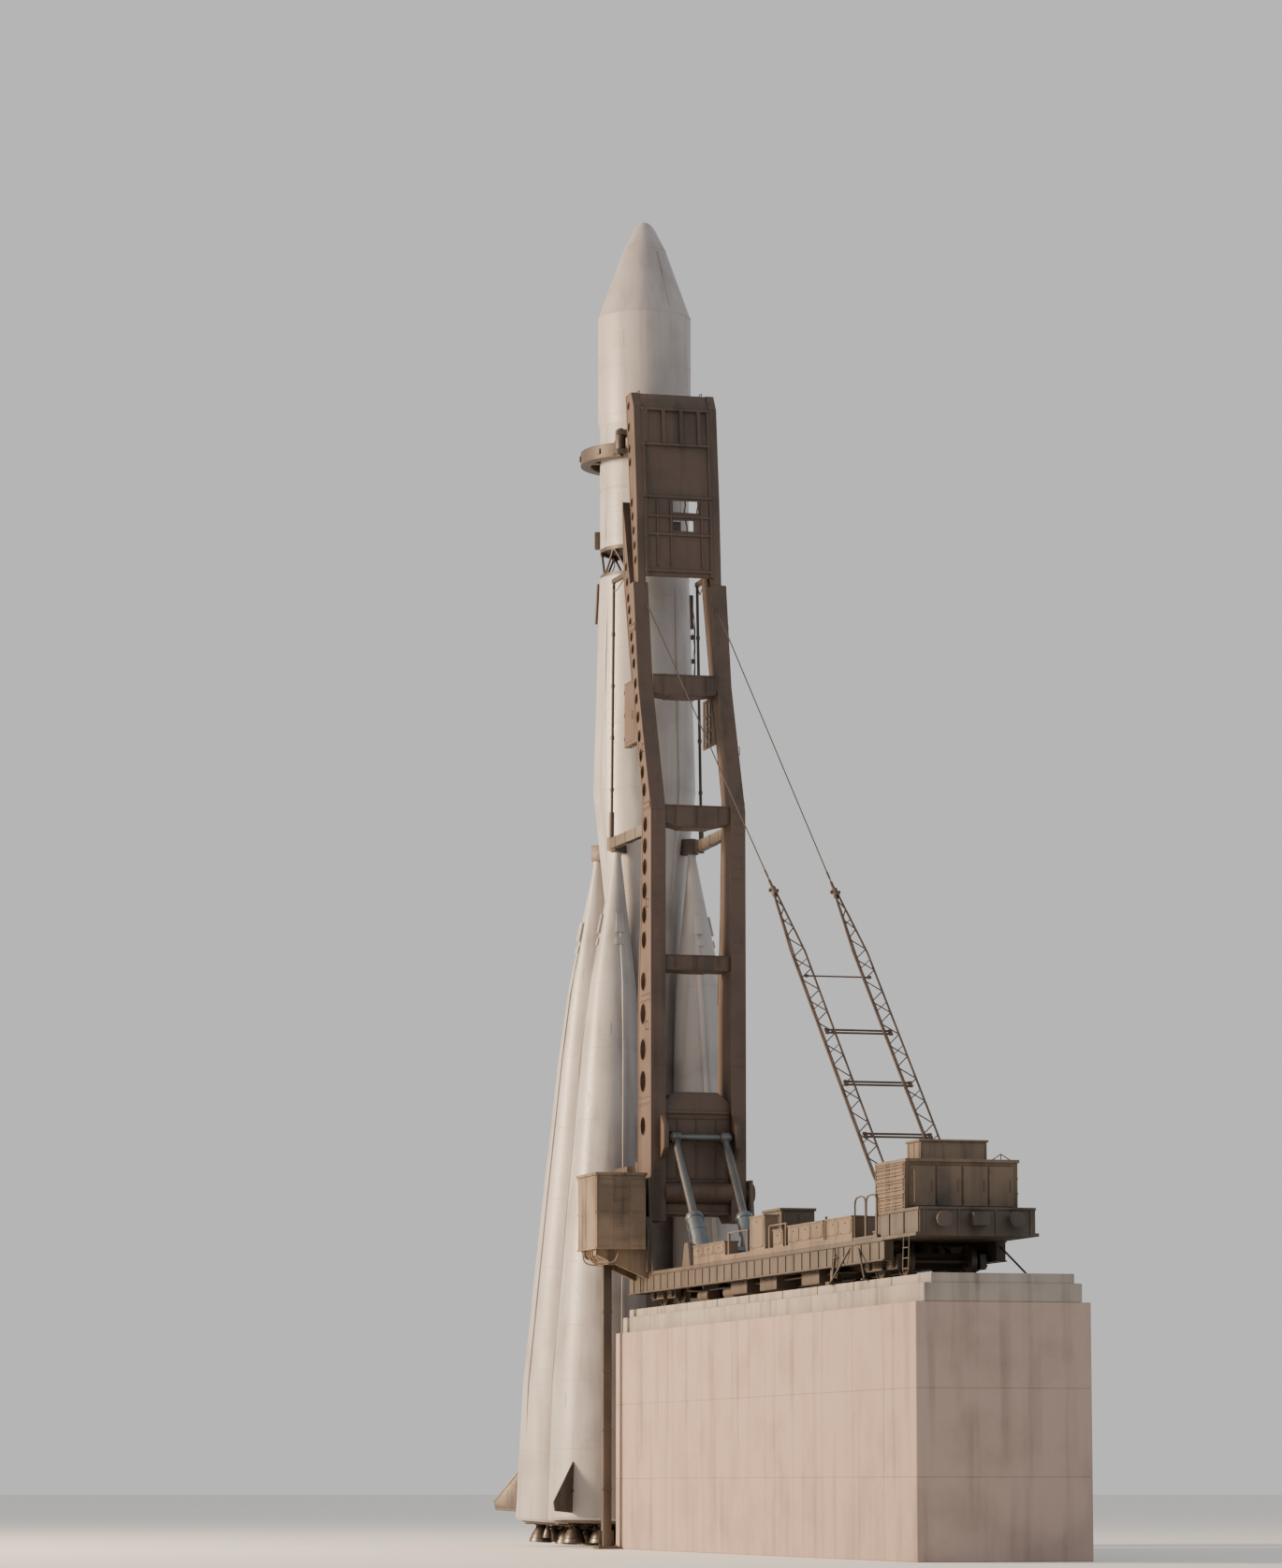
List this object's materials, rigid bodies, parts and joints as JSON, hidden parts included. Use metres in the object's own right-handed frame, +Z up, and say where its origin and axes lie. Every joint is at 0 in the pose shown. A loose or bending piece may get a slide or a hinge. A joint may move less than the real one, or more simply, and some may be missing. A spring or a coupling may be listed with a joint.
{
  "type": "space rocket on rail erector",
  "caption": "Slender launch vehicle with strap-on boosters, clamped upright by the tilting, stayed boom of a rail erector that stands on a concrete plinth.",
  "frame": {"origin": "middle of the bounding box at the floor under the plinth and the rocket", "axes": "+X from the rocket along the railcar to its rear, +Y to the railcar's right side seen from its rear, +Z up"},
  "size_m": [35.0659, 7.1318, 38.36],
  "materials": {
    "cabinet_paint": "weathered brown paint",
    "cable_steel": "wire rope",
    "clamp_paint": "dull dark paint",
    "concrete": "rough concrete",
    "engine_metal": "dark heat-stained metal",
    "erector_paint": "dull red-brown paint",
    "fairing_paint": "matte white paint",
    "railcar_paint": "dull dark brown paint",
    "ram_steel": "blue-grey steel",
    "rocket_paint": "matte grey-white paint",
    "wall_concrete": "rough pinkish concrete",
    "wheel_steel": "worn steel"
  },
  "bodies": {
    "railcar": {"chassis": "railcar_paint", "plinth_wall": "wall_concrete", "plinth_cap": "concrete", "edge_boxes_right": "railcar_paint", "edge_boxes_left": "railcar_paint", "deck_box": "railcar_paint", "rear_cabin": "railcar_paint", "hoop_rails": "railcar_paint", "front_cabinet": "cabinet_paint", "cabinet_post": "railcar_paint"},
    "boom": {"girder_right": "erector_paint", "girder_left": "erector_paint", "boom_head": "erector_paint", "cross_beam_upper": "erector_paint", "cross_beam_middle": "erector_paint", "cross_beam_lower": "erector_paint", "boom_foot": "erector_paint", "side_box": "erector_paint", "open_panel": "erector_paint", "clamp_seat": "clamp_paint", "waist_support_right": "erector_paint", "waist_support_left": "erector_paint", "tail_support": "clamp_paint", "fairing": "fairing_paint", "third_stage": "rocket_paint", "strut_truss": "engine_metal", "core_stage": "rocket_paint", "core_engine": "engine_metal", "booster_1": "rocket_paint", "booster_2": "rocket_paint", "booster_3": "rocket_paint", "booster_4": "rocket_paint", "booster_engine_1": "engine_metal", "booster_engine_2": "engine_metal", "booster_engine_3": "engine_metal", "booster_engine_4": "engine_metal"},
    "clamp_arm_right": {"clamp_arm_right": "clamp_paint"},
    "clamp_arm_left": {"clamp_arm_left": "clamp_paint"},
    "jack_right": {"jack_right": "wheel_steel"},
    "jack_left": {"jack_left": "wheel_steel"},
    "bogie_front": {"bogie_front": "railcar_paint"},
    "bogie_rear": {"bogie_rear": "railcar_paint"},
    "ram_barrels": {"ram_barrels": "ram_steel"},
    "ram_rods": {"ram_rods": "ram_steel"},
    "air_rudder_1": {"air_rudder_1": "engine_metal"},
    "wheelset_1": {"wheelset_1": "wheel_steel"},
    "air_rudder_2": {"air_rudder_2": "engine_metal"},
    "wheelset_2": {"wheelset_2": "wheel_steel"},
    "air_rudder_3": {"air_rudder_3": "engine_metal"},
    "wheelset_3": {"wheelset_3": "wheel_steel"},
    "air_rudder_4": {"air_rudder_4": "engine_metal"},
    "wheelset_4": {"wheelset_4": "wheel_steel"},
    "stay_frame": {"stay_frame": "erector_paint", "stay_cable_right": "cable_steel", "stay_cable_left": "cable_steel"}
  },
  "joints": [
    {"name": "boom_tilt", "type": "hinge", "parent": "railcar", "child": "boom", "pos_m": [-8.367, 0, 9.7], "axis": [0, 1, 0], "range_deg": [0, 90]},
    {"name": "ram_swing", "type": "hinge", "parent": "railcar", "child": "ram_barrels", "pos_m": [-5.367, 0, 8], "axis": [0, 1, 0], "range_deg": [-8, 1]},
    {"name": "ram_slide", "type": "slide", "parent": "ram_barrels", "child": "ram_rods", "axis": [-0.6449, 0, 0.7643], "range_m": [-2.13706, 0]},
    {"name": "stay_swing", "type": "hinge", "parent": "railcar", "child": "stay_frame", "pos_m": [12.033, 0, 8], "axis": [0, 1, 0], "range_deg": [-41.9, 0], "deforming": ["stay_cable_right", "stay_cable_left"]},
    {"name": "clamp_right_swing", "type": "hinge", "parent": "boom", "child": "clamp_arm_right", "pos_m": [-11.567, 1.35, 31.28], "axis": [0, 0, 1], "range_deg": [-80, 0]},
    {"name": "clamp_left_swing", "type": "hinge", "parent": "boom", "child": "clamp_arm_left", "pos_m": [-11.567, -1.35, 31.28], "axis": [0, 0, 1], "range_deg": [0, 80]},
    {"name": "air_rudder_1_turn", "type": "hinge", "parent": "boom", "child": "air_rudder_1", "pos_m": [-11.13377, 2.83323, 1.57891], "axis": [0.7058, 0.7058, 0.0605], "range_deg": [-20, 20]},
    {"name": "air_rudder_2_turn", "type": "hinge", "parent": "boom", "child": "air_rudder_2", "pos_m": [-16.80023, 2.83323, 1.57891], "axis": [-0.7058, 0.7058, 0.0605], "range_deg": [-20, 20]},
    {"name": "air_rudder_3_turn", "type": "hinge", "parent": "boom", "child": "air_rudder_3", "pos_m": [-16.80023, -2.83323, 1.57891], "axis": [-0.7058, -0.7058, 0.0605], "range_deg": [-20, 20]},
    {"name": "air_rudder_4_turn", "type": "hinge", "parent": "boom", "child": "air_rudder_4", "pos_m": [-11.13377, -2.83323, 1.57891], "axis": [0.7058, -0.7058, 0.0605], "range_deg": [-20, 20]},
    {"name": "bogie_front_swivel", "type": "hinge", "parent": "railcar", "child": "bogie_front", "pos_m": [-7.842, 0, 7.2], "axis": [0, 0, 1], "range_deg": [-2.5, 2.5]},
    {"name": "bogie_rear_swivel", "type": "hinge", "parent": "railcar", "child": "bogie_rear", "pos_m": [11.858, 0, 7.2], "axis": [0, 0, 1], "range_deg": [-2.5, 2.5]},
    {"name": "wheelset_1_spin", "type": "hinge", "parent": "bogie_front", "child": "wheelset_1", "pos_m": [-8.767, 0, 6.945], "axis": [0, 1, 0], "continuous": true},
    {"name": "wheelset_2_spin", "type": "hinge", "parent": "bogie_front", "child": "wheelset_2", "pos_m": [-6.917, 0, 6.945], "axis": [0, 1, 0], "continuous": true},
    {"name": "wheelset_3_spin", "type": "hinge", "parent": "bogie_rear", "child": "wheelset_3", "pos_m": [10.933, 0, 6.945], "axis": [0, 1, 0], "continuous": true},
    {"name": "wheelset_4_spin", "type": "hinge", "parent": "bogie_rear", "child": "wheelset_4", "pos_m": [12.783, 0, 6.945], "axis": [0, 1, 0], "continuous": true},
    {"name": "jack_right_slide", "type": "slide", "parent": "railcar", "child": "jack_right", "axis": [0, 0, 1], "range_m": [0, 0.3]},
    {"name": "jack_left_slide", "type": "slide", "parent": "railcar", "child": "jack_left", "axis": [0, 0, 1], "range_m": [0, 0.3]}
  ],
  "couplings": [
    {"joint": "ram_swing", "follows": "boom_tilt", "ratio": -0.075766},
    {"joint": "ram_slide", "follows": "boom_tilt", "m_per_rad": -1.3592},
    {"joint": "stay_swing", "follows": "boom_tilt", "ratio": -0.46244}
  ]
}
